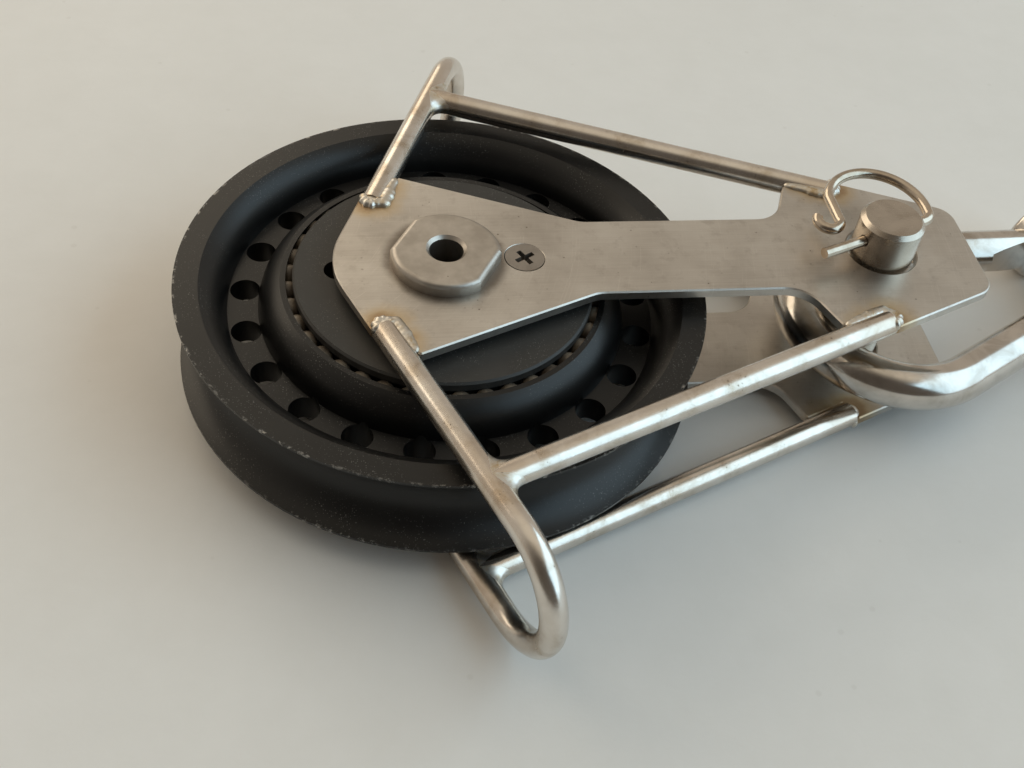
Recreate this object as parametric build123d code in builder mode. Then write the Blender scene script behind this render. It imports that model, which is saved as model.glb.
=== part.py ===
from build123d import *

import os
from math import acos, asin, cos, degrees, radians, sin

# Single sheave block for running rigging, lying on its side.
# The origin is the centre of the sheave and +Z is the axis of its axle.
# +X runs from the sheave to the clevis pin and the shackle that hangs on it.
# Inside the sheave a full set of rollers carries the load, and a ring of balls on each side
# keeps it centred between two plates that are clamped to the inner race by the axle.
# "upper" and "lower" name the two sides of the sheave, "front" is -Y and "back" is +Y.

# ---------------------------------------------------------------- driving dimensions, mm

# Sheave: a 3 inch wheel, hollowed on both sides, for 1/2 inch rope
sheave_radius = 38.0
sheave_half_width = 7.04
groove_bottom_radius = 33.0
groove_arc_radius = 6.9
rim_inner_radius = 34.5
web_outer_radius = 30.8
web_inner_radius = 26.5
web_half_thickness = 2.0
wall_arc_radius = 7.0
collar_top_radius = 23.3
collar_bore_radius = 22.5
collar_half_width = 6.8
web_hole_count = 21
web_hole_radius = 2.15
web_hole_circle = 28.5
web_hole_phase = 1.0

# Roller bearing: inner race, full complement of rollers, and the sheave's own bore as outer race
race_radius = 16.85
race_half_width = 3.55
roller_count = 28
roller_radius = 2.0
roller_circle = 18.9
roller_half_length = 3.2
sheave_bore_radius = 20.95
sheave_bore_half_width = 3.31
roller_edge_round = 0.25

# Side balls, 1/8 inch, between the bearing plates and the sheave
ball_count = 40
ball_radius = 1.5875
ball_circle = 22.2
ball_height = 4.9
ball_groove_radius = 1.66

# Bearing plates and spacer washers
plate_radius = 21.5
plate_outer_z = 7.8
plate_edge_chamfer = 0.3
plate_hole_radius = 1.95
plate_hole_circle = 15.2
plate_hole_angle = 175.3
washer_radius = 13.0  # stays clear of the plate hole

# Cheek plates, 1/16 inch sheet: every slanted edge lies on one grid, turned by edge_angle
cheek_inner_z = 9.0
cheek_outer_z = 10.6
cheek_edge_chamfer = 0.2
edge_angle = 22.5
nose_x = -17.0
nose_round = 14.0
shoulder_reach = 21.6
neck_start_round = 5.0
neck_end_round = 5.0
neck_half_width = 7.7
neck_end_x = 51.4
head_end_x = 80.2
head_round = 3.5
corner_break = 0.5
seat_corner_round = 0.0

# Rods, 9/64 inch wire: two rope guards (hairpins) and four struts
rod_radius = 1.8
rod_z = 9.8
guard_seat_start = 15.0
guard_leg_length = 35.6
strut_seat_x = 61.9
strut_seat_y = 14.6

# Axle: a sleeve bolt and a sleeve nut, both with two flats on the head, with a hole right through
axle_radius = 5.0
axle_hole_radius = 5.03
axle_head_radius = 7.85
axle_head_height = 2.0
axle_flat_distance = 7.0
axle_flat_angle = -31.5
axle_head_round = 0.8
stud_radius = 3.8
stud_hole_radius = 3.85
sleeve_end_z = -3.0
nut_end_z = -3.1
axle_bore_radius = 2.45
axle_bore_chamfer = 0.45

# Lock screws, number 4 countersunk with a cross recess: they stop the cheeks and plates turning
screw_x = 11.35
screw_head_radius = 2.85
screw_seat_radius = 3.0
screw_shank_radius = 1.42
screw_hole_radius = 1.45
screw_cone_z = 9.17
screw_end_z = 2.0
screw_hole_end_z = 1.5
screw_recess_length = 3.1
screw_recess_width = 0.75
screw_recess_depth = 1.1
screw_recess_angle = 30.0
screw_recess_taper = 8.0

# Clevis pin, 3/8 inch
clevis_x = 65.6
clevis_radius = 4.76
clevis_hole_radius = 5.3
clevis_head_radius = 6.5
clevis_head_height = 2.0
clevis_top_z = 16.9
clevis_chamfer = 0.6
clevis_head_round = 0.5
cotter_hole_radius = 0.9
cotter_z = 14.0

# Cotter ring: a straight leg through the clevis pin, a bow over its top and a small hook
cotter_wire_radius = 0.8
cotter_turn = 20.6
cotter_lean = 5.0
cotter_leg_start = -12.1
cotter_leg_end = 6.98
cotter_corner_radius = 2.0
cotter_bow_radius = 7.8
cotter_bow_corner = 63.4
cotter_bow_sweep = 161.6
cotter_hook_corner = 28.0
cotter_hook_lead = 4.7
cotter_hook_radius = 1.75
cotter_hook_sweep = -207.0

# Bow shackle, 7 mm bar, hanging on the clevis pin with its pin end down on the ground
ground_z = -12.6
bow_x = 70.9
bow_y = -1.0
bow_z = -2.94
bow_yaw = 17.8
bow_radius = 15.0
bar_radius = 3.5
leg_angle = 12.5
leg_bend_radius = 10.0
pin_reach = 42.0
ear_radius = 7.0
ear_half_spacing = 7.6
ear_outer = 11.3
jaw_half_gap = 6.3
jaw_start = 27.0
ear_edge_round = 0.8
ear_spot_face_radius = 7.4

# Shackle pin: threaded pin with a flat eye
shackle_pin_radius = 3.5
shackle_pin_hole_radius = 3.55
pin_end_overhang = 1.8
pin_end_chamfer = 0.6
pin_collar_radius = 5.6
pin_collar_height = 2.2
pin_eye_radius = 6.0
pin_eye_hole_radius = 2.6
pin_eye_reach = 7.4
pin_eye_neck = 7.5
pin_eye_thickness = 3.6
pin_eye_round = 0.8

# How far a cut runs past the face that it opens
cut_margin = 1.0

# ---------------------------------------------------------------- what follows from them

SIDES = {"upper": 1, "lower": -1}
WAYS = {"front": -1, "back": 1}

cheek_thickness = cheek_outer_z - cheek_inner_z
axle_end_z = cheek_outer_z + axle_head_height


def half_section(side, x=0.0):
    """Plane for the half section of a turned piece: radius along X, height outwards on a side."""
    return Plane(origin=(x, 0, 0), x_dir=(1, 0, 0), z_dir=(0, -side, 0))


def outward(side, height, x=0.0):
    """Plane parallel to the cheeks, at a height on one side, facing outwards."""
    return Plane(origin=(x, 0, side * height), x_dir=(1, 0, 0), z_dir=(0, 0, side))


def edge_step(along, across, way=1):
    """A step on the cheeks' slanted grid: along the guard rods and across them."""
    run = along * sin(radians(edge_angle)) + across * cos(radians(edge_angle))
    rise = along * cos(radians(edge_angle)) - across * sin(radians(edge_angle))
    return Vector(run, way * rise, 0)


def finish(piece, name):
    """Label a piece and write it to its own file."""
    piece.part.label = name
    export_step(piece.part, f"parts/{name}.step")


# Corners of half a cheek plate, from the nose round to the head
nose = Vector(nose_x, 0, 0)
guard_seat = nose + edge_step(guard_seat_start, 0)
shoulder = nose + edge_step(shoulder_reach, 2 * rod_radius)
neck_start = shoulder + edge_step(0, (shoulder.Y - neck_half_width) / sin(radians(edge_angle)))
neck_end = Vector(neck_end_x, neck_half_width, 0)
strut_end = Vector(strut_seat_x, strut_seat_y, 0)
strut_seat = strut_end + edge_step(rod_radius, 0)
strut_seat_inner = strut_end - edge_step(rod_radius, 0)
head_shoulder = neck_end + edge_step((strut_seat_inner - neck_end).dot(edge_step(1, 0)), 0)
head_corner = strut_seat + edge_step(0, (head_end_x - strut_seat.X) / cos(radians(edge_angle)))

cheek_corners = [
    (guard_seat, corner_break),
    (guard_seat + edge_step(0, 2 * rod_radius), seat_corner_round),
    (shoulder, corner_break),
    (neck_start, neck_start_round),
    (neck_end, neck_end_round),
    (head_shoulder, corner_break),
    (strut_seat_inner, seat_corner_round),
    (strut_seat, corner_break),
    (head_corner, head_round),
]
guard_end = guard_seat + edge_step(0, rod_radius)
strut_length = (strut_end - guard_end).dot(edge_step(0, 1))

# Shackle: axes along it (to its pin), across it (towards the back) and square to its plane
shackle_drop = degrees(asin((bow_z - ground_z - ear_radius) / pin_reach))
shackle_along = Vector(1, 0, 0).rotate(Axis.Y, shackle_drop).rotate(Axis.Z, bow_yaw)
shackle_across = Vector(0, 1, 0).rotate(Axis.Z, bow_yaw)
bow_centre = Vector(bow_x, bow_y, bow_z)
shackle_plane = Plane(
    origin=bow_centre, x_dir=shackle_along, z_dir=shackle_along.cross(shackle_across)
)

os.makedirs("parts", exist_ok=True)

# ---------------------------------------------------------------- cheek plates


def cheek_outline():
    """Corner points and corner radii of a whole cheek plate, mirrored about the X axis."""
    points = [nose]
    rounds = [nose_round]
    for point, corner_round in cheek_corners:
        points.append(point)
        rounds.append(corner_round)
    for point, corner_round in reversed(cheek_corners):
        points.append(Vector(point.X, -point.Y, 0))
        rounds.append(corner_round)
    return points, rounds


for side_name, side in SIDES.items():
    outline_points, outline_rounds = cheek_outline()
    with BuildPart() as cheek_plate:
        with BuildSketch(outward(side, cheek_inner_z)):
            with BuildLine():
                FilletPolyline(*outline_points, radius=outline_rounds, close=True)
            make_face()
            Circle(axle_hole_radius, mode=Mode.SUBTRACT)
            with Locations((clevis_x, 0)):
                Circle(clevis_hole_radius, mode=Mode.SUBTRACT)
        extrude(amount=cheek_thickness)
        flat_faces = cheek_plate.faces().filter_by(Axis.Z)
        chamfer(flat_faces.edges(), cheek_edge_chamfer)
        with BuildSketch(half_section(side, screw_x)):
            with BuildLine():
                Polyline(
                    (0, cheek_inner_z - cut_margin),
                    (screw_hole_radius, cheek_inner_z - cut_margin),
                    (screw_hole_radius, screw_cone_z),
                    (screw_seat_radius, cheek_outer_z),
                    (0, cheek_outer_z),
                    close=True,
                )
            make_face()
        revolve(axis=Axis((screw_x, 0, 0), (0, 0, 1)), mode=Mode.SUBTRACT)
    finish(cheek_plate, f"{side_name}_cheek_plate")

# ---------------------------------------------------------------- rope guards and struts

for way_name, way in WAYS.items():
    leg_direction = edge_step(1, 0, way)
    strut_direction = edge_step(0, 1, way)
    guard_foot = Vector(guard_end.X, way * guard_end.Y, 0)
    guard_plane = Plane(
        origin=guard_foot, x_dir=leg_direction, z_dir=leg_direction.cross(Vector(0, 0, 1))
    )
    section_plane = Plane(
        origin=guard_foot + Vector(0, 0, rod_z), x_dir=strut_direction, z_dir=leg_direction
    )
    with BuildPart() as rope_guard:
        with BuildLine(guard_plane):
            Line((0, rod_z), (guard_leg_length, rod_z))
            JernArc((guard_leg_length, rod_z), (1, 0), rod_z, -180)
            Line((guard_leg_length, -rod_z), (0, -rod_z))
        with BuildSketch(section_plane):
            Circle(rod_radius)
        sweep()
    finish(rope_guard, f"{way_name}_rope_guard")

    for side_name, side in SIDES.items():
        strut_foot = Vector(strut_end.X, way * strut_end.Y, side * rod_z)
        strut_plane = Plane(origin=strut_foot, x_dir=leg_direction, z_dir=strut_direction * -1)
        with BuildPart() as strut:
            with BuildSketch(strut_plane):
                Circle(rod_radius)
            extrude(amount=strut_length)
            add(rope_guard.part, mode=Mode.SUBTRACT)
        finish(strut, f"{way_name}_{side_name}_strut")

# ---------------------------------------------------------------- sheave

groove_depth = sheave_radius - groove_bottom_radius
groove_sweep = degrees(acos((groove_arc_radius - groove_depth) / groove_arc_radius))

with BuildPart() as sheave:
    with BuildSketch(Plane.XZ):
        with BuildLine():
            groove = CenterArc(
                (groove_bottom_radius + groove_arc_radius, 0), groove_arc_radius, 180, -groove_sweep
            )
            Polyline(
                groove @ 1,
                (sheave_radius, sheave_half_width),
                (rim_inner_radius, sheave_half_width),
            )
            RadiusArc(
                (rim_inner_radius, sheave_half_width),
                (web_outer_radius, web_half_thickness),
                -wall_arc_radius,
            )
            Line((web_outer_radius, web_half_thickness), (web_inner_radius, web_half_thickness))
            RadiusArc(
                (web_inner_radius, web_half_thickness),
                (collar_top_radius, collar_half_width),
                -wall_arc_radius,
            )
            Polyline(
                (collar_top_radius, collar_half_width),
                (collar_bore_radius, collar_half_width),
                (collar_bore_radius, sheave_bore_half_width),
                (sheave_bore_radius, sheave_bore_half_width),
                (sheave_bore_radius, 0),
            )
            mirror(about=Plane.XZ)
        make_face()
        with Locations((ball_circle, ball_height), (ball_circle, -ball_height)):
            Circle(ball_groove_radius, mode=Mode.SUBTRACT)
    revolve(axis=Axis.Z)
    with BuildSketch(Plane.XY.offset(-sheave_half_width)):
        with PolarLocations(web_hole_circle, web_hole_count, start_angle=web_hole_phase):
            Circle(web_hole_radius)
    extrude(amount=2 * sheave_half_width, mode=Mode.SUBTRACT)
finish(sheave, "sheave")

# ---------------------------------------------------------------- roller bearing

with BuildPart() as bearing_hub:
    with BuildSketch(Plane.XY.offset(-race_half_width)):
        Circle(race_radius)
        Circle(axle_hole_radius, mode=Mode.SUBTRACT)
    extrude(amount=2 * race_half_width)
    for side in SIDES.values():
        with BuildSketch(outward(side, screw_hole_end_z, screw_x)):
            Circle(screw_hole_radius)
        extrude(amount=race_half_width, mode=Mode.SUBTRACT)
finish(bearing_hub, "bearing_hub")

with BuildPart() as bearing_rollers:
    with PolarLocations(roller_circle, roller_count):
        Cylinder(roller_radius, 2 * roller_half_length)
    chamfer(bearing_rollers.edges().filter_by(GeomType.CIRCLE), roller_edge_round)
finish(bearing_rollers, "bearing_rollers")

# ---------------------------------------------------------------- side bearings, each side

for side_name, side in SIDES.items():
    with BuildPart() as bearing_plate:
        with BuildSketch(half_section(side)):
            with BuildLine():
                Polyline(
                    (axle_hole_radius, race_half_width),
                    (plate_radius, race_half_width),
                    (plate_radius, plate_outer_z - plate_edge_chamfer),
                    (plate_radius - plate_edge_chamfer, plate_outer_z),
                    (axle_hole_radius, plate_outer_z),
                    close=True,
                )
            make_face()
            with Locations((ball_circle, ball_height)):
                Circle(ball_groove_radius, mode=Mode.SUBTRACT)
        revolve(axis=Axis.Z)
        with BuildSketch(outward(side, race_half_width)):
            with PolarLocations(plate_hole_circle, 1, start_angle=side * plate_hole_angle):
                Circle(plate_hole_radius)
            with Locations((screw_x, 0)):
                Circle(screw_hole_radius)
        extrude(amount=plate_outer_z, mode=Mode.SUBTRACT)
    finish(bearing_plate, f"{side_name}_bearing_plate")

    with BuildPart() as side_balls:
        with Locations((0, 0, side * ball_height)):
            with PolarLocations(ball_circle, ball_count):
                Sphere(ball_radius)
    finish(side_balls, f"{side_name}_side_balls")

    with BuildPart() as spacer_washer:
        with BuildSketch(outward(side, plate_outer_z)):
            Circle(washer_radius)
            Circle(axle_hole_radius, mode=Mode.SUBTRACT)
            with Locations((screw_x, 0)):
                Circle(screw_hole_radius, mode=Mode.SUBTRACT)
        extrude(amount=cheek_inner_z - plate_outer_z)
    finish(spacer_washer, f"{side_name}_spacer_washer")

    with BuildPart() as lock_screw:
        with BuildSketch(half_section(side, screw_x)):
            with BuildLine():
                Polyline(
                    (0, screw_end_z),
                    (screw_shank_radius, screw_end_z),
                    (screw_shank_radius, screw_cone_z),
                    (screw_head_radius, cheek_outer_z),
                    (0, cheek_outer_z),
                    close=True,
                )
            make_face()
        revolve(axis=Axis((screw_x, 0, 0), (0, 0, 1)))
        with BuildSketch(outward(side, cheek_outer_z, screw_x)):
            Rectangle(screw_recess_length, screw_recess_width, rotation=screw_recess_angle)
            Rectangle(screw_recess_width, screw_recess_length, rotation=screw_recess_angle)
        extrude(amount=-screw_recess_depth, taper=screw_recess_taper, mode=Mode.SUBTRACT)
    finish(lock_screw, f"{side_name}_lock_screw")

# ---------------------------------------------------------------- axle


def axle_head_outline():
    """Sketch of the round head with two flats that the axle's bolt and nut both have."""
    Circle(axle_head_radius)
    Rectangle(
        2 * axle_flat_distance, 2 * axle_head_radius, rotation=axle_flat_angle, mode=Mode.INTERSECT
    )


with BuildPart() as axle_bolt:
    with BuildSketch(Plane.XY.offset(cheek_outer_z)):
        axle_head_outline()
    extrude(amount=axle_head_height)
    with BuildSketch(Plane.XY.offset(sleeve_end_z)):
        Circle(axle_radius)
    extrude(amount=cheek_outer_z - sleeve_end_z)
    with BuildSketch(Plane.XY.offset(-axle_end_z)):
        Circle(stud_radius)
    extrude(amount=sleeve_end_z + axle_end_z)
    with BuildSketch(Plane.XY.offset(-axle_end_z)):
        Circle(axle_bore_radius)
    extrude(amount=2 * axle_end_z, mode=Mode.SUBTRACT)
    chamfer(axle_bolt.edges().filter_by(GeomType.CIRCLE).sort_by(SortBy.RADIUS)[:2], axle_bore_chamfer)
    fillet(axle_bolt.faces().sort_by(Axis.Z)[-1].outer_wire().edges(), axle_head_round)
finish(axle_bolt, "axle_bolt")

with BuildPart() as axle_nut:
    with BuildSketch(Plane.XY.offset(-axle_end_z)):
        axle_head_outline()
    extrude(amount=axle_head_height)
    fillet(axle_nut.faces().sort_by(Axis.Z)[0].edges(), axle_head_round)
    with BuildSketch(Plane.XY.offset(-cheek_outer_z)):
        Circle(axle_radius)
    extrude(amount=cheek_outer_z + nut_end_z)
    with BuildSketch(Plane.XY.offset(-axle_end_z)):
        Circle(stud_hole_radius)
    extrude(amount=axle_end_z, mode=Mode.SUBTRACT)
finish(axle_nut, "axle_nut")

# ---------------------------------------------------------------- clevis pin and cotter ring

with BuildPart() as clevis_pin:
    with BuildSketch(Plane.XY.offset(ground_z)):
        with Locations((clevis_x, 0)):
            Circle(clevis_head_radius)
    extrude(amount=clevis_head_height)
    fillet(clevis_pin.edges().filter_by(GeomType.CIRCLE), clevis_head_round)
    with BuildSketch(Plane.XY.offset(-cheek_outer_z)):
        with Locations((clevis_x, 0)):
            Circle(clevis_radius)
    extrude(amount=cheek_outer_z + clevis_top_z)
    chamfer(clevis_pin.edges().filter_by(GeomType.CIRCLE).sort_by(Axis.Z)[-1], clevis_chamfer)
    cotter_direction = Vector(1, 0, 0).rotate(Axis.Z, cotter_turn)
    with BuildSketch(Plane(origin=(clevis_x, 0, cotter_z), z_dir=cotter_direction)):
        Circle(cotter_hole_radius)
    extrude(amount=2 * clevis_radius, both=True, mode=Mode.SUBTRACT)
finish(clevis_pin, "clevis_pin")

cotter_back = Vector(0, 1, 0).rotate(Axis.Z, cotter_turn)
cotter_up = cotter_back * cos(radians(cotter_lean)) + Vector(0, 0, 1) * sin(radians(cotter_lean))
cotter_plane = Plane(
    origin=(clevis_x, 0, cotter_z), x_dir=cotter_direction, z_dir=cotter_direction.cross(cotter_up)
)
with BuildPart() as cotter_ring:
    with BuildLine(cotter_plane):
        leg = Line((cotter_leg_start, 0), (cotter_leg_end, 0))
        leg_corner = JernArc(leg @ 1, leg % 1, cotter_corner_radius, cotter_bow_corner)
        bow = JernArc(leg_corner @ 1, leg_corner % 1, cotter_bow_radius, cotter_bow_sweep)
        hook_corner = JernArc(bow @ 1, bow % 1, cotter_corner_radius, cotter_hook_corner)
        hook_lead = Line(hook_corner @ 1, hook_corner @ 1 + (hook_corner % 1) * cotter_hook_lead)
        JernArc(hook_lead @ 1, hook_lead % 1, cotter_hook_radius, cotter_hook_sweep)
    with BuildSketch(Plane(origin=leg @ 0, z_dir=leg % 0)):
        Circle(cotter_wire_radius)
    sweep()
finish(cotter_ring, "cotter_ring")

# ---------------------------------------------------------------- shackle


def across_plane(along, across):
    """Plane square to the shackle's pin, at a place along and across the shackle."""
    origin = bow_centre + shackle_along * along + shackle_across * across
    return Plane(origin=origin, x_dir=shackle_along, z_dir=shackle_across)


bow_end_spacing = bow_radius * cos(radians(leg_angle))
leg_bend_fall = leg_bend_radius * (1 - cos(radians(leg_angle)))
leg_length = (bow_end_spacing - ear_half_spacing - leg_bend_fall) / sin(radians(leg_angle))

with BuildPart() as shackle_bow:
    for way in WAYS.values():
        with BuildSketch(across_plane(pin_reach, way * jaw_half_gap)):
            Circle(ear_radius)
        extrude(amount=way * (ear_outer - jaw_half_gap))
    fillet(shackle_bow.edges().filter_by(GeomType.CIRCLE), ear_edge_round)
    with BuildLine(shackle_plane):
        bow_arc = CenterArc((0, 0), bow_radius, 90 - leg_angle, 180 + 2 * leg_angle)
        for way, bow_end in ((1, bow_arc @ 0), (-1, bow_arc @ 1)):
            shackle_leg = PolarLine(bow_end, leg_length, way * -leg_angle)
            JernArc(shackle_leg @ 1, shackle_leg % 1, leg_bend_radius, way * leg_angle)
    with BuildSketch(across_plane(-bow_radius, 0)):
        Circle(bar_radius)
    sweep()
    with BuildSketch(shackle_plane):
        with Locations((jaw_start, 0)):
            Rectangle(
                pin_reach + ear_radius - jaw_start, 2 * jaw_half_gap, align=(Align.MIN, Align.CENTER)
            )
    extrude(amount=2 * ear_radius, both=True, mode=Mode.SUBTRACT)
    for way in WAYS.values():
        with BuildSketch(across_plane(pin_reach, way * ear_outer)):
            Circle(ear_spot_face_radius)
        extrude(amount=way * bar_radius, mode=Mode.SUBTRACT)
    with BuildSketch(across_plane(pin_reach, 0)):
        Circle(shackle_pin_hole_radius)
    extrude(amount=2 * ear_outer, both=True, mode=Mode.SUBTRACT)
finish(shackle_bow, "shackle_bow")

with BuildPart() as shackle_pin:
    with BuildSketch(across_plane(pin_reach, -ear_outer)):
        Circle(shackle_pin_radius)
    extrude(amount=2 * ear_outer + pin_end_overhang)
    chamfer(shackle_pin.edges().filter_by(GeomType.CIRCLE).sort_by(Axis.Y)[-1], pin_end_chamfer)
    with BuildSketch(across_plane(pin_reach, -ear_outer)):
        Circle(pin_collar_radius)
    extrude(amount=-pin_collar_height)
    with BuildSketch(shackle_plane):
        with Locations((pin_reach, -ear_outer - pin_eye_reach)):
            Circle(pin_eye_radius)
        with Locations((pin_reach, -ear_outer - pin_eye_reach / 2)):
            Rectangle(pin_eye_neck, pin_eye_reach)
        with Locations((pin_reach, -ear_outer - pin_eye_reach)):
            Circle(pin_eye_hole_radius, mode=Mode.SUBTRACT)
    extrude(amount=pin_eye_thickness / 2, both=True)
    eye_faces = shackle_pin.faces().filter_by(Axis((0, 0, 0), shackle_plane.z_dir))
    fillet(eye_faces.edges().filter_by(GeomType.CIRCLE), pin_eye_round)
finish(shackle_pin, "shackle_pin")
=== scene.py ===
import math

import bmesh
import bpy
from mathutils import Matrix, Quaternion, Vector, noise


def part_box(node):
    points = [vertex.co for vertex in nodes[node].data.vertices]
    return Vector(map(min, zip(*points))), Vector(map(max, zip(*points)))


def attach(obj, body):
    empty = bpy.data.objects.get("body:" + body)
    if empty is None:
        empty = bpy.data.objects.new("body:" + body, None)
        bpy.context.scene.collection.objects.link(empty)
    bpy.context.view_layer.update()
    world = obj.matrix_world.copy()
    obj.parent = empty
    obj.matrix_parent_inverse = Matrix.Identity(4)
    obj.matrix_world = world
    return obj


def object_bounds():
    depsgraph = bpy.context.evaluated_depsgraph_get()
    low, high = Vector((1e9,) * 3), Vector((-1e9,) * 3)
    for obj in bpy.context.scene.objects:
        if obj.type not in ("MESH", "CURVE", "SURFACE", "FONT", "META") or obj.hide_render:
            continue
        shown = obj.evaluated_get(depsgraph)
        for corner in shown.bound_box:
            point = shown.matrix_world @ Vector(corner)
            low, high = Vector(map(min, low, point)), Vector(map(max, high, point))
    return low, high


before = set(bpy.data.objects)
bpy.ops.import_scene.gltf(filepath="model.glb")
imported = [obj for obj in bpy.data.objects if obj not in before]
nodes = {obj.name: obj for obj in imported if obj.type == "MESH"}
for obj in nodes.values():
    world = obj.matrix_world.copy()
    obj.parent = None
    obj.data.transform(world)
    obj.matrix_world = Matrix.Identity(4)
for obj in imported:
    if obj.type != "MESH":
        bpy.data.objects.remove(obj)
cad_low, cad_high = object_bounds()

MM = 0.001

# The cheeks, guards and struts are laid out on one slanted grid
EDGE_ANGLE = math.radians(22.5)
SIDES = {"upper": 1, "lower": -1}
WAYS = {"front": -1, "back": 1}


# ---------------------------------------------------------------- places worked out from the frame

def grid_step(along, across, way):
    """A step along the guard rods and across them, on the front (-1) or the back (1)."""
    run = along * math.sin(EDGE_ANGLE) + across * math.cos(EDGE_ANGLE)
    rise = along * math.cos(EDGE_ANGLE) - across * math.sin(EDGE_ANGLE)
    return Vector((run, way * rise, 0))


strut_low, strut_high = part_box("back_upper_strut")
guard_low, guard_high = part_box("back_rope_guard")
ROD_RADIUS = (strut_high.z - strut_low.z) / 2
ROD_Z = (strut_high.z + strut_low.z) / 2
GUARD_END = Vector((guard_low.x, guard_low.y, 0)) + Vector(
    (ROD_RADIUS * math.cos(EDGE_ANGLE), ROD_RADIUS * math.sin(EDGE_ANGLE), 0)
)
STRUT_END = Vector((strut_high.x, strut_low.y, 0)) + Vector(
    (-ROD_RADIUS * math.sin(EDGE_ANGLE), ROD_RADIUS * math.cos(EDGE_ANGLE), 0)
)
TEE_REACH = (STRUT_END - GUARD_END).dot(grid_step(1, 0, 1))
TEE = GUARD_END + grid_step(TEE_REACH, 0, 1)
GROUND_Z = cad_low.z


def on_way(point, way, height=0.0):
    """A place in plan, mirrored to the front or the back, at a height."""
    return Vector((point.x, way * point.y, height))


# ---------------------------------------------------------------- material building blocks

class Graph:
    """Short calls that build one material's nodes. Lengths inside a graph are in millimetres."""

    def __init__(self, name):
        self.material = bpy.data.materials.new(name)
        self.material.use_nodes = True
        self.tree = self.material.node_tree
        self.shader = self.tree.nodes["Principled BSDF"]
        where = self.add("ShaderNodeTexCoord")
        self.place = self.vector("SCALE", where.outputs["Object"], scale=1 / MM)
        self.normal = where.outputs["Normal"]

    def add(self, kind, **settings):
        node = self.tree.nodes.new(kind)
        for key, value in settings.items():
            setattr(node, key, value)
        return node

    def feed(self, socket, value):
        """Link a socket to another node's output, or set it to a number or colour."""
        if isinstance(value, bpy.types.NodeSocket):
            self.tree.links.new(value, socket)
        elif isinstance(value, (tuple, list)) and socket.type == "RGBA" and len(value) == 3:
            socket.default_value = (*value, 1.0)
        else:
            socket.default_value = value

    def math(self, operation, first, second=0.0, third=0.0, clamp=False):
        node = self.add("ShaderNodeMath", operation=operation, use_clamp=clamp)
        for socket, value in zip(node.inputs, (first, second, third)):
            self.feed(socket, value)
        return node.outputs[0]

    def vector(self, operation, first, second=None, scale=None):
        node = self.add("ShaderNodeVectorMath", operation=operation)
        self.feed(node.inputs[0], first)
        if second is not None:
            self.feed(node.inputs[1], second)
        if scale is not None:
            self.feed(node.inputs["Scale"], scale)
        return node.outputs["Value" if operation in ("LENGTH", "DISTANCE", "DOT_PRODUCT") else 0]

    def split(self, value):
        node = self.add("ShaderNodeSeparateXYZ")
        self.feed(node.inputs[0], value)
        return node.outputs

    def joined(self, x, y, z):
        node = self.add("ShaderNodeCombineXYZ")
        for socket, value in zip(node.inputs, (x, y, z)):
            self.feed(socket, value)
        return node.outputs[0]

    def noise(self, scale, detail=4.0, roughness=0.55, distortion=0.0, stretch=None, at=None):
        """Noise from 0 to 1. scale is in features per millimetre."""
        where = self.place if at is None else at
        if stretch is not None:
            where = self.vector("MULTIPLY", where, stretch)
        node = self.add("ShaderNodeTexNoise")
        self.feed(node.inputs["Vector"], where)
        for key, value in (
            ("Scale", scale), ("Detail", detail), ("Roughness", roughness), ("Distortion", distortion)
        ):
            self.feed(node.inputs[key], value)
        return node.outputs["Fac"]

    def specks(self, scale, size, at=None):
        """1 inside small round specks, one to a cell at most, and 0 outside them."""
        node = self.add("ShaderNodeTexVoronoi")
        self.feed(node.inputs["Vector"], self.place if at is None else at)
        self.feed(node.inputs["Scale"], scale)
        chosen = self.split(node.outputs["Color"])[0]
        reach = self.math("MULTIPLY", chosen, size)
        gap = self.math("SUBTRACT", reach, node.outputs["Distance"])
        return self.math("MULTIPLY", gap, 1.0 / (0.35 * size), clamp=True)

    def step(self, value, low, high):
        """0 below low, 1 above high, smooth between. low may be the larger."""
        node = self.add("ShaderNodeMapRange", interpolation_type="SMOOTHSTEP")
        for key, number in (
            ("Value", value), ("From Min", low), ("From Max", high), ("To Min", 0.0), ("To Max", 1.0)
        ):
            self.feed(node.inputs[key], number)
        return node.outputs["Result"]

    def ramp(self, value, stops):
        """Colour ramp through (position, colour) stops."""
        node = self.add("ShaderNodeValToRGB")
        self.feed(node.inputs[0], value)
        elements = node.color_ramp.elements
        while len(elements) < len(stops):
            elements.new(0.5)
        for element, (position, colour) in zip(elements, stops):
            element.position = position
            element.color = (*colour, 1.0)
        return node.outputs["Color"]

    def mix(self, factor, first, second, blend="MIX"):
        node = self.add("ShaderNodeMix", data_type="RGBA", blend_type=blend)
        self.feed(node.inputs["Factor"], factor)
        self.feed(node.inputs[6], first)
        self.feed(node.inputs[7], second)
        return node.outputs[2]

    def lerp(self, factor, low, high):
        """A number that goes from low to high as factor goes from 0 to 1."""
        node = self.add("ShaderNodeMapRange")
        for key, number in (("Value", factor), ("To Min", low), ("To Max", high)):
            self.feed(node.inputs[key], number)
        return node.outputs["Result"]

    def highest(self, *values):
        result = values[0]
        for value in values[1:]:
            result = self.math("MAXIMUM", result, value)
        return result

    def near_any(self, points, inner, outer):
        """1 within inner millimetres of any point in plan, and 0 beyond outer. Front and back alike."""
        x, y, _ = self.split(self.place)
        plan = self.joined(x, self.math("ABSOLUTE", y), 0.0)
        nearest = None
        for point in points:
            target = (point.x / MM, abs(point.y) / MM, 0.0)
            gap = self.vector("DISTANCE", plan, target)
            nearest = gap if nearest is None else self.math("MINIMUM", nearest, gap)
        wobble = self.math("MULTIPLY", self.math("SUBTRACT", self.noise(0.35), 0.5), 3.0)
        return self.step(self.math("ADD", nearest, wobble), outer, inner)

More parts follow.
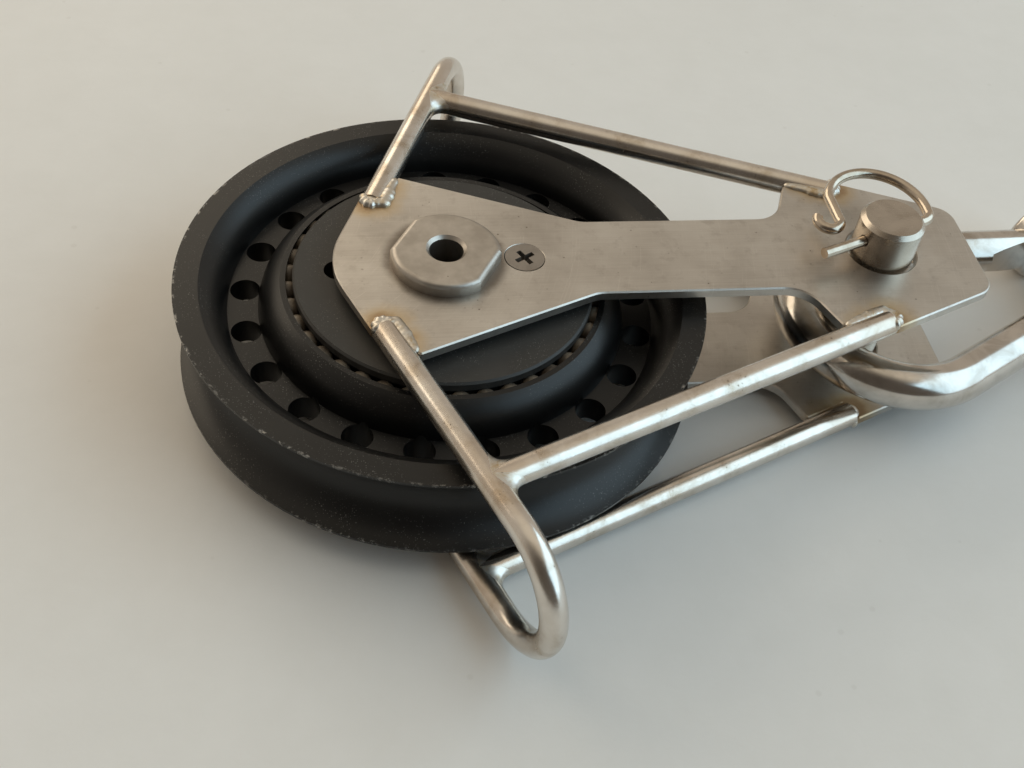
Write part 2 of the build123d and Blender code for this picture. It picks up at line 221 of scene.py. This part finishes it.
    def bump(self, height, depth, strength=1.0, normal=None):
        """Bump of a depth in millimetres."""
        node = self.add("ShaderNodeBump")
        self.feed(node.inputs["Height"], height)
        self.feed(node.inputs["Distance"], depth * MM)
        self.feed(node.inputs["Strength"], strength)
        if normal is not None:
            self.feed(node.inputs["Normal"], normal)
        return node.outputs["Normal"]

    def set(self, **values):
        """Set the shader's own sockets, by name with spaces written as underscores."""
        for key, value in values.items():
            self.feed(self.shader.inputs[key.replace("_", " ")], value)


# Heat tint runs from straw to brown, and is strongest at the welds
STRAW = (0.55, 0.40, 0.20)
BROWN = (0.34, 0.21, 0.11)
WELD_PLACES = [
    GUARD_END,
    GUARD_END + grid_step(3.2 * MM, 0, 1),
    STRUT_END,
    STRUT_END + grid_step(0, -3.4 * MM, 1),
]


def sheet_steel(name):
    """Satin stainless sheet: fine grain along X, soft smudges, curved scratches and small pits."""
    g = Graph(name)
    grain = g.noise(1.0, detail=6, roughness=0.7, stretch=(0.12, 6.0, 6.0))
    hairs = g.noise(1.0, detail=3, roughness=0.6, stretch=(0.5, 18.0, 18.0))
    blotches = g.noise(0.09, detail=3)
    clouds = g.noise(0.5, detail=6, roughness=0.65)
    colour = g.ramp(
        g.math("ADD", g.math("MULTIPLY", blotches, 0.65), g.math("MULTIPLY", grain, 0.35)),
        [(0.34, (0.47, 0.435, 0.395)), (0.5, (0.57, 0.535, 0.49)), (0.66, (0.66, 0.63, 0.585))],
    )
    colour = g.mix(g.math("MULTIPLY", g.step(clouds, 0.50, 0.74), 0.45), colour, (0.40, 0.36, 0.32))
    # scratches on arcs about a point off the nose
    arc_radius = g.vector("DISTANCE", g.place, (-30.0, 12.0, 10.6))
    arc_lines = g.joined(g.math("MULTIPLY", arc_radius, 4.5), g.math("MULTIPLY", blotches, 3.0), 0.0)
    scratches = g.step(g.noise(1.0, detail=4, roughness=0.75, at=arc_lines), 0.58, 0.68)
    pits = g.math("MULTIPLY", g.specks(1.1, 0.22), g.step(clouds, 0.52, 0.62))
    colour = g.mix(g.math("MULTIPLY", scratches, 0.34), colour, (0.80, 0.77, 0.72))
    colour = g.mix(g.math("MULTIPLY", pits, 0.7), colour, (0.12, 0.09, 0.065))
    # grime against the axle head, with painted contact shade where the head sits on the sheet: a darker ring
    # round the head
    x, y, _ = g.split(g.place)
    from_axle = g.vector("LENGTH", g.joined(x, y, 0.0))
    ring = g.step(g.math("ADD", from_axle, g.math("MULTIPLY", clouds, 1.6)), 10.4, 8.6)
    colour = g.mix(g.math("MULTIPLY", ring, 0.7), colour, (0.10, 0.075, 0.055))
    halo = g.near_any(WELD_PLACES, 2.4, 5.4)
    core = g.near_any(WELD_PLACES, 1.6, 3.2)
    colour = g.mix(g.math("MULTIPLY", halo, 0.6), colour, STRAW)
    colour = g.mix(g.math("MULTIPLY", core, 0.65), colour, BROWN)
    rough_mix = g.math("ADD", g.math("MULTIPLY", grain, 0.5), g.math("MULTIPLY", clouds, 0.5))
    rough = g.lerp(rough_mix, 0.24, 0.52)
    height = g.math("ADD", g.math("MULTIPLY", grain, 0.6), g.math("MULTIPLY", hairs, 0.4))
    height = g.math("SUBTRACT", height, g.math("MULTIPLY", pits, 0.8))
    g.set(Base_Color=colour, Metallic=1.0, Roughness=rough, Normal=g.bump(height, 0.014, 0.7))
    return g.material


def rod_steel(name):
    """Polished round wire: fine marks, brown film in patches, heat tint at the welds."""
    g = Graph(name)
    film = g.noise(0.22, detail=5, roughness=0.6, distortion=0.4)
    marks = g.noise(2.2, detail=5, roughness=0.7)
    colour = g.ramp(
        film, [(0.36, (0.74, 0.70, 0.65)), (0.54, (0.66, 0.61, 0.55)), (0.70, (0.50, 0.43, 0.35))]
    )
    tee = g.near_any([TEE], 3.5, 9.0)
    ends = g.near_any([GUARD_END, STRUT_END], 2.0, 8.0)
    colour = g.mix(g.math("MULTIPLY", g.highest(tee, ends), 0.22), colour, (0.50, 0.34, 0.19))
    nicks = g.math("MULTIPLY", g.specks(1.5, 0.25), g.step(film, 0.5, 0.62))
    colour = g.mix(g.math("MULTIPLY", nicks, 0.7), colour, (0.13, 0.09, 0.06))
    rough = g.lerp(g.math("ADD", g.math("MULTIPLY", film, 0.6), g.math("MULTIPLY", marks, 0.4)), 0.12, 0.36)
    g.set(Base_Color=colour, Metallic=1.0, Roughness=rough, Normal=g.bump(marks, 0.02, 0.5))
    return g.material


def polished_steel(name, tone, rough_low, rough_high, film_share=0.4):
    """Forged or turned stainless, polished, with light scuffs and a thin brown film in patches."""
    g = Graph(name)
    film = g.noise(0.16, detail=5, roughness=0.6, distortion=0.5)
    marks = g.noise(1.4, detail=6, roughness=0.72)
    scuffs = g.noise(1.0, detail=4, roughness=0.7, stretch=(0.4, 5.0, 5.0))
    dark = tuple(0.72 * channel for channel in tone)
    colour = g.mix(g.step(film, 0.35, 0.7), tone, dark)
    colour = g.mix(g.math("MULTIPLY", g.step(film, 0.5, 0.75), film_share), colour, (0.42, 0.31, 0.20))
    wear = g.math("ADD", g.math("MULTIPLY", scuffs, 0.5), g.math("MULTIPLY", film, 0.5))
    rough = g.lerp(wear, rough_low, rough_high)
    height = g.math("ADD", g.math("MULTIPLY", marks, 0.5), g.math("MULTIPLY", scuffs, 0.5))
    g.set(Base_Color=colour, Metallic=1.0, Roughness=rough, Normal=g.bump(height, 0.015, 0.5))
    return g.material


def turned_steel(name):
    """Turned stainless: fine rings about the axle, with small nicks."""
    g = Graph(name)
    x, y, z = g.split(g.place)
    radius = g.vector("LENGTH", g.joined(x, y, 0.0))
    turned = g.joined(g.math("MULTIPLY", radius, 6.0), g.math("MULTIPLY", z, 4.0), 0.0)
    rings = g.noise(1.0, detail=4, roughness=0.7, at=turned)
    grain = g.noise(1.0, detail=5, roughness=0.7, stretch=(0.25, 5.0, 5.0))
    clouds = g.noise(0.35, detail=4)
    colour = g.ramp(clouds, [(0.35, (0.42, 0.385, 0.345)), (0.65, (0.53, 0.495, 0.45))])
    nicks = g.math("MULTIPLY", g.specks(0.9, 0.2), g.step(clouds, 0.5, 0.6))
    colour = g.mix(g.math("MULTIPLY", nicks, 0.7), colour, (0.12, 0.08, 0.06))
    rough = g.lerp(grain, 0.28, 0.5)
    height = g.math("ADD", g.math("MULTIPLY", rings, 0.5), g.math("MULTIPLY", grain, 0.5))
    g.set(Base_Color=colour, Metallic=1.0, Roughness=rough, Normal=g.bump(height, 0.012, 0.6))
    return g.material


def dust_mask(g, share):
    """Loose pale dust: fine specks that gather in patches, mostly on faces that look up or down."""
    patches = g.noise(0.12, detail=4, roughness=0.6)
    fine = g.specks(4.0, 0.36)
    coarse = g.specks(1.6, 0.20)
    facing = g.step(g.math("ABSOLUTE", g.split(g.normal)[2]), 0.25, 0.9)
    amount = g.math("MULTIPLY", g.highest(fine, coarse), g.step(patches, 0.62, 0.40))
    return g.math("MULTIPLY", g.math("MULTIPLY", amount, facing), share)


def anodised_black(name):
    """Black hard anodised aluminium: turning marks, dust, and bare metal where the rim is chipped."""
    g = Graph(name)
    x, y, z = g.split(g.place)
    radius = g.vector("LENGTH", g.joined(x, y, 0.0))
    height_above = g.math("ABSOLUTE", z)
    turned = g.joined(g.math("MULTIPLY", radius, 3.5), g.math("MULTIPLY", z, 3.5), 0.0)
    turning = g.noise(1.0, detail=4, roughness=0.7, at=turned)
    clouds = g.noise(0.16, detail=4, roughness=0.6)
    colour = g.ramp(clouds, [(0.3, (0.0020, 0.0020, 0.0022)), (0.7, (0.0050, 0.0050, 0.0050))])
    # the rim's flat faces are painted a little paler, unevenly: a painted sheen for the light they reflect
    rim_face_sheen = g.math("MULTIPLY", g.step(radius, 34.2, 34.8), g.step(height_above, 6.6, 7.0))
    colour = g.mix(g.math("MULTIPLY", rim_face_sheen, g.lerp(clouds, 0.25, 0.75)), colour, (0.011, 0.0105, 0.010))
    dust = dust_mask(g, 0.32)
    colour = g.mix(dust, colour, (0.30, 0.29, 0.27))
    # chips along the rim's sharp edge
    edge = g.math("MULTIPLY", g.step(radius, 37.55, 37.9), g.step(height_above, 6.35, 6.75))
    chipped = g.step(g.noise(0.9, detail=6, roughness=0.75), 0.53, 0.60)
    runs = g.step(g.noise(0.06, detail=2), 0.42, 0.58)
    chips = g.math("MULTIPLY", g.math("MULTIPLY", edge, chipped), g.lerp(runs, 0.35, 1.0))
    colour = g.mix(chips, colour, (0.34, 0.33, 0.31))
    wear = g.math("ADD", g.math("MULTIPLY", clouds, 0.5), g.math("MULTIPLY", turning, 0.5))
    rough = g.lerp(wear, 0.26, 0.46)
    rough = g.highest(rough, g.math("MULTIPLY", dust, 0.9))
    shape = g.math("ADD", g.math("MULTIPLY", turning, 0.5), g.math("MULTIPLY", dust, 1.4))
    shape = g.math("SUBTRACT", shape, g.math("MULTIPLY", chips, 4.0))
    g.set(Base_Color=colour, Metallic=g.math("MULTIPLY", chips, 0.8), Roughness=rough)
    g.set(IOR=1.45, Normal=g.bump(shape, 0.02, 0.6))
    return g.material


def plate_black(name):
    """Matte dark plate: rubbed in fine arcs, dusty."""
    g = Graph(name)
    x, y, z = g.split(g.place)
    radius = g.vector("LENGTH", g.joined(x, y, 0.0))
    rings = g.noise(1.0, detail=4, roughness=0.7, at=g.joined(g.math("MULTIPLY", radius, 4.0), 0.0, 0.0))
    clouds = g.noise(0.14, detail=4)
    rubs = g.step(g.noise(1.0, detail=5, roughness=0.75, stretch=(0.5, 4.0, 1.0)), 0.56, 0.72)
    colour = g.ramp(clouds, [(0.3, (0.020, 0.0195, 0.018)), (0.7, (0.030, 0.029, 0.027))])
    colour = g.mix(g.math("MULTIPLY", rubs, 0.25), colour, (0.09, 0.088, 0.082))
    dust = dust_mask(g, 0.35)
    colour = g.mix(dust, colour, (0.30, 0.29, 0.27))
    rough = g.lerp(g.math("ADD", g.math("MULTIPLY", rings, 0.4), g.math("MULTIPLY", clouds, 0.6)), 0.42, 0.62)
    shape = g.math("ADD", g.math("MULTIPLY", rings, 0.5), g.math("MULTIPLY", dust, 1.2))
    g.set(Base_Color=colour, Roughness=rough, Normal=g.bump(shape, 0.015, 0.5))
    return g.material


def bearing_plastic(name, pale, dark, rough_low, rough_high):
    """Moulded bearing plastic with a film of grime."""
    g = Graph(name)
    grime = g.noise(0.5, detail=5, roughness=0.6)
    colour = g.mix(g.step(grime, 0.35, 0.7), pale, dark)
    marks = g.noise(3.0, detail=4)
    g.set(Base_Color=colour, Roughness=g.lerp(grime, rough_low, rough_high), Normal=g.bump(marks, 0.01, 0.4))
    return g.material


def weld_steel(name):
    """Weld metal: rippled, straw and brown, with bright spots where it was brushed."""
    g = Graph(name)
    tint = g.noise(0.55, detail=5, roughness=0.65, distortion=0.6)
    colour = g.ramp(tint, [
        (0.40, (0.70, 0.68, 0.64)), (0.54, (0.62, 0.57, 0.49)),
        (0.66, (0.50, 0.38, 0.23)), (0.78, (0.26, 0.20, 0.14)),
    ])
    marks = g.noise(1.8, detail=6, roughness=0.7)
    soot = g.math("MULTIPLY", g.specks(1.1, 0.4), g.step(tint, 0.5, 0.6))
    colour = g.mix(g.math("MULTIPLY", soot, 0.7), colour, (0.06, 0.045, 0.03))
    rough = g.lerp(tint, 0.22, 0.48)
    g.set(Base_Color=colour, Metallic=1.0, Roughness=rough, Normal=g.bump(marks, 0.05, 0.6))
    return g.material


def paint(node_names, material):
    """Put a material on CAD nodes, in every slot that they have."""
    for node_name in node_names:
        mesh = nodes[node_name].data
        mesh.materials.clear()
        mesh.materials.append(material)


both_cheeks = ["upper_cheek_plate", "lower_cheek_plate"]
all_rods = ["front_rope_guard", "back_rope_guard"]
all_rods += [f"{way}_{side}_strut" for way in WAYS for side in SIDES]
paint(both_cheeks, sheet_steel("satin_sheet"))
paint(all_rods, rod_steel("polished_wire"))
paint(["sheave"], anodised_black("black_anodised"))
paint(["upper_bearing_plate", "lower_bearing_plate"], plate_black("black_plate"))
paint(["upper_side_balls", "lower_side_balls"],
      bearing_plastic("ball_plastic", (0.20, 0.165, 0.125), (0.07, 0.055, 0.042), 0.3, 0.5))
paint(["bearing_rollers"],
      bearing_plastic("roller_plastic", (0.30, 0.20, 0.11), (0.18, 0.12, 0.07), 0.3, 0.5))
paint(["bearing_hub", "upper_spacer_washer", "lower_spacer_washer"], turned_steel("turned_race"))
paint(["axle_bolt", "axle_nut"], turned_steel("turned_axle"))
paint(["upper_lock_screw", "lower_lock_screw"],
      polished_steel("screw_finish", (0.34, 0.31, 0.28), 0.34, 0.55))
paint(["clevis_pin"], polished_steel("pin_finish", (0.56, 0.50, 0.43), 0.14, 0.38))
paint(["cotter_ring"], polished_steel("ring_finish", (0.58, 0.50, 0.41), 0.10, 0.26, 0.6))
paint(["shackle_bow", "shackle_pin"], polished_steel("shackle_finish", (0.66, 0.62, 0.57), 0.08, 0.26, 0.35))
weld_material = weld_steel("weld_metal")


# ---------------------------------------------------------------- weld pieces

def add_mesh(name, vertices, faces, material, body):
    """Make a smooth-shaded mesh piece that rides on a body."""
    mesh = bpy.data.meshes.new(name)
    mesh.from_pydata([tuple(v) for v in vertices], [], faces)
    mesh.materials.append(material)
    for polygon in mesh.polygons:
        polygon.use_smooth = True
    piece = bpy.data.objects.new(name, mesh)
    bpy.context.scene.collection.objects.link(piece)
    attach(piece, body)
    return piece


TEE_FILLET_SIZE = 2.6 * MM
TEE_RINGS = 14
TEE_TURNS = 96
TEE_SINK = 0.03 * MM


def tee_fillet(way_name, way, side_name, side):
    """Weld fillet round the T where a strut meets a guard rod: a concave sweep on both sides."""
    along = grid_step(1, 0, way)
    away = grid_step(0, 1, way)
    up = Vector((0, 0, 1))
    centre = on_way(TEE, way, side * ROD_Z)
    radius = ROD_RADIUS
    vertices = []
    for turn in range(TEE_TURNS):
        angle = 2 * math.pi * turn / TEE_TURNS
        cosine = math.cos(angle)
        sine = math.sin(angle)
        ripple = 1 + 0.10 * noise.noise(Vector((3 * cosine, 3 * sine, 5.0 * way + 9.0 * side)))
        size = TEE_FILLET_SIZE * ripple * abs(cosine) ** 0.45
        corner = Vector((radius * abs(cosine), radius * cosine, radius * sine))
        strut_point = corner + Vector((size, 0, 0))
        guard_point = corner + Vector((0, math.copysign(size, cosine), 0))
        for ring in range(TEE_RINGS + 1):
            t = ring / TEE_RINGS
            local = (1 - t) ** 2 * strut_point + 2 * t * (1 - t) * corner + t * t * guard_point
            sink = 1 - TEE_SINK / radius * (1 - 4 * t * (1 - t))
            local = Vector((local.x, local.y * sink, local.z * sink))
            vertices.append(centre + away * local.x + along * local.y + up * local.z)
    faces = []
    row = TEE_RINGS + 1
    for turn in range(TEE_TURNS):
        following = (turn + 1) % TEE_TURNS
        for ring in range(TEE_RINGS):
            faces.append((
                turn * row + ring, turn * row + ring + 1, following * row + ring + 1, following * row + ring
            ))
    name = f"{way_name}_{side_name}_tee_weld"
    return add_mesh(name, vertices, faces, weld_material, "block_frame")


def lump_mesh(name, lumps, voxel):
    """One skin round a heap of ellipsoids, each given by centre, three axes and three radii."""
    builder = bmesh.new()
    for centre, axes, radii in lumps:
        made = bmesh.ops.create_icosphere(builder, subdivisions=3, radius=1.0)
        for vertex in made["verts"]:
            unit = vertex.co.copy()
            place = centre.copy()
            for axis, reach, share in zip(axes, radii, unit):
                place = place + axis * (reach * share)
            vertex.co = place
    mesh = bpy.data.meshes.new(name)
    builder.to_mesh(mesh)
    builder.free()
    source = bpy.data.objects.new(name + "_source", mesh)
    bpy.context.scene.collection.objects.link(source)
    remesh = source.modifiers.new("skin", "REMESH")
    remesh.mode = "VOXEL"
    remesh.voxel_size = voxel
    relax = source.modifiers.new("relax", "SMOOTH")
    relax.factor = 0.5
    relax.iterations = 12
    graph = bpy.context.evaluated_depsgraph_get()
    result = bpy.data.meshes.new_from_object(source.evaluated_get(graph))
    bpy.data.objects.remove(source)
    bpy.data.meshes.remove(mesh)
    return result


WELD_VOXEL = 0.15 * MM
RIPPLE_STEP = 0.85 * MM
BEAD_HALF_WIDTH = 1.15 * MM
BEAD_HALF_HEIGHT = 0.85 * MM
BEAD_OFFSET = 1.75 * MM
BEAD_Z = 10.55 * MM
BEAD_OVERLAP = 1.3
DOME_RADII = (1.6 * MM, 1.7 * MM, 1.55 * MM)
DOME_Z = 9.9 * MM
CAP_RIPPLES = 6
CAP_RADIUS = 1.05 * MM


def seam_weld(name, end, toward, inward, length, way, side):
    """Weld of a rod's end into its seat: a rippled bead along the seam, round the end and over it.

    end is the rod's end centre in plan, toward points along the rod away from its end and
    inward from the rod's axis to the plate.
    """
    up = Vector((0, 0, side))
    foot = on_way(end, way, side * BEAD_Z)
    lumps = []
    count = int(length / RIPPLE_STEP)
    for index in range(count):
        jitter = noise.noise(Vector((index * 1.7, way * 3.1, side * 2.3)))
        taper = 1 - 0.45 * (index / count) ** 2
        centre = foot + toward * (index * RIPPLE_STEP) + inward * (BEAD_OFFSET + 0.15 * MM * jitter)
        radii = (
            BEAD_OVERLAP * RIPPLE_STEP,
            BEAD_HALF_WIDTH * taper * (1 + 0.15 * jitter),
            BEAD_HALF_HEIGHT * taper * (1 + 0.10 * jitter),
        )
        lumps.append((centre, (toward, inward, up), radii))
    for index in range(CAP_RIPPLES):
        angle = math.pi * (0.5 - index / (CAP_RIPPLES - 1))
        jitter = noise.noise(Vector((index * 2.3, way * 1.9, side * 4.1)))
        outward = inward * math.sin(angle) - toward * math.cos(angle)
        along_bead = inward * math.cos(angle) + toward * math.sin(angle)
        centre = foot + outward * (CAP_RADIUS * (1 + 0.1 * jitter)) - up * (0.10 * MM)
        radii = (0.62 * MM, 0.95 * MM, 1.02 * MM + 0.08 * MM * jitter)
        lumps.append((centre, (along_bead, outward, up), radii))
    lumps.append((on_way(end, way, side * DOME_Z), (toward, inward, up), DOME_RADII))
    mesh = lump_mesh(name, lumps, WELD_VOXEL)
    mesh.materials.clear()
    mesh.materials.append(weld_material)
    for polygon in mesh.polygons:
        polygon.use_smooth = True
    piece = bpy.data.objects.new(name, mesh)
    bpy.context.scene.collection.objects.link(piece)
    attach(piece, "block_frame")
    return piece


GUARD_SEAM = 6.4 * MM
STRUT_SEAM = 6.8 * MM

for way_name, way in WAYS.items():
    for side_name, side in SIDES.items():
        tee_fillet(way_name, way, side_name, side)
        seam_weld(
            f"{way_name}_{side_name}_guard_weld", GUARD_END,
            grid_step(1, 0, way), grid_step(0, 1, way), GUARD_SEAM, way, side,
        )
        seam_weld(
            f"{way_name}_{side_name}_strut_weld", STRUT_END,
            grid_step(0, -1, way), grid_step(-1, 0, way), STRUT_SEAM, way, side,
        )


# ---------------------------------------------------------------- floor

def floor_material():
    """Pale painted board: faint mottling and a fine orange-peel skin."""
    g = Graph("pale_board")
    wide = g.noise(0.012, detail=3)
    mottle = g.noise(0.12, detail=4, roughness=0.6)
    grit = g.specks(0.16, 0.10)
    colour = g.ramp(
        g.math("ADD", g.math("MULTIPLY", wide, 0.5), g.math("MULTIPLY", mottle, 0.5)),
        [(0.3, (0.79, 0.785, 0.765)), (0.7, (0.84, 0.835, 0.82))],
    )
    colour = g.mix(g.math("MULTIPLY", grit, 0.12), colour, (0.45, 0.42, 0.38))
    peel = g.noise(0.5, detail=4, roughness=0.6)
    g.set(Base_Color=colour, Roughness=0.55, Normal=g.bump(peel, 0.12, 0.35))
    return g.material


FLOOR_HALF = 3.0
floor_mesh = bpy.data.meshes.new("floor")
floor_corners = [
    (x * FLOOR_HALF, y * FLOOR_HALF, GROUND_Z) for x, y in ((-1, -1), (1, -1), (1, 1), (-1, 1))
]
floor_mesh.from_pydata(floor_corners, [], [(0, 1, 2, 3)])
floor_mesh.materials.append(floor_material())
floor = bpy.data.objects.new("floor", floor_mesh)
bpy.context.scene.collection.objects.link(floor)


# ---------------------------------------------------------------- light

def area_light(name, place, target, width, height, power, colour):
    """Rectangular soft light that looks at a target."""
    data = bpy.data.lights.new(name, "AREA")
    data.shape = "RECTANGLE"
    data.size = width
    data.size_y = height
    data.energy = power
    data.color = colour
    lamp = bpy.data.objects.new(name, data)
    lamp.location = place
    lamp.rotation_mode = "QUATERNION"
    lamp.rotation_quaternion = (Vector(target) - Vector(place)).to_track_quat("-Z", "Y")
    bpy.context.scene.collection.objects.link(lamp)
    return lamp


def from_angles(azimuth, elevation, distance=1.0):
    """A place seen from the object at an azimuth and elevation in degrees."""
    flat = math.cos(math.radians(elevation))
    return Vector((
        distance * flat * math.cos(math.radians(azimuth)),
        distance * flat * math.sin(math.radians(azimuth)),
        distance * math.sin(math.radians(elevation)),
    ))


OBJECT_MIDDLE = (0.02, 0, 0)
area_light("window", from_angles(-15, 30, 1.15), OBJECT_MIDDLE, 1.6, 1.1, 9.0, (0.55, 0.82, 1.0))
area_light("lit_wall", from_angles(125, 30, 0.9), OBJECT_MIDDLE, 1.0, 0.5, 2.6, (1.0, 0.86, 0.66))

HORIZON = (0.47, 0.415, 0.345)
ZENITH = (0.66, 0.58, 0.46)
SHADED = (0.10, 0.085, 0.07)
DARK_DIRECTION = from_angles(-100, 15)

world = bpy.data.worlds.new("room")
bpy.context.scene.world = world
world.use_nodes = True
world_nodes = world.node_tree.nodes
world_links = world.node_tree.links
look = world_nodes.new("ShaderNodeTexCoord").outputs["Generated"]
parts = world_nodes.new("ShaderNodeSeparateXYZ")
world_links.new(look, parts.inputs[0])
fade = world_nodes.new("ShaderNodeValToRGB")
world_links.new(parts.outputs["Z"], fade.inputs[0])
fade.color_ramp.elements[0].position = 0.7
fade.color_ramp.elements[0].color = (*HORIZON, 1.0)
fade.color_ramp.elements[1].position = 0.95
fade.color_ramp.elements[1].color = (*ZENITH, 1.0)
toward_dark = world_nodes.new("ShaderNodeVectorMath")
toward_dark.operation = "DOT_PRODUCT"
toward_dark.inputs[1].default_value = DARK_DIRECTION
world_links.new(look, toward_dark.inputs[0])
shade = world_nodes.new("ShaderNodeMapRange")
shade.interpolation_type = "SMOOTHSTEP"
shade.inputs["From Min"].default_value = 0.35
shade.inputs["From Max"].default_value = 0.85
world_links.new(toward_dark.outputs["Value"], shade.inputs["Value"])
blend = world_nodes.new("ShaderNodeMix")
blend.data_type = "RGBA"
world_links.new(shade.outputs["Result"], blend.inputs["Factor"])
world_links.new(fade.outputs["Color"], blend.inputs[6])
blend.inputs[7].default_value = (*SHADED, 1.0)
backdrop = world_nodes["Background"]
world_links.new(blend.outputs[2], backdrop.inputs["Color"])
backdrop.inputs["Strength"].default_value = 1.0


# ---------------------------------------------------------------- camera

CAMERA_PLACE = Vector((-21.371, -135.151, 132.0)) * MM
CAMERA_AIM = Vector((8.476, -14.722, 0.0)) * MM
CAMERA_ROLL = math.radians(8.13)
CAMERA_LENS = 45.22
SENSOR_WIDTH = 36.0

camera_data = bpy.data.cameras.new("camera")
camera_data.lens = CAMERA_LENS
camera_data.sensor_width = SENSOR_WIDTH
camera_data.sensor_fit = "HORIZONTAL"
camera_data.clip_start = 0.01
camera_data.clip_end = 20.0
camera = bpy.data.objects.new("camera", camera_data)
camera.location = CAMERA_PLACE
camera.rotation_mode = "QUATERNION"
level = (CAMERA_AIM - CAMERA_PLACE).to_track_quat("-Z", "Y")
camera.rotation_quaternion = level @ Quaternion((0, 0, 1), CAMERA_ROLL)
bpy.context.scene.collection.objects.link(camera)
bpy.context.scene.camera = camera
bpy.context.scene.view_settings.view_transform = "Standard"
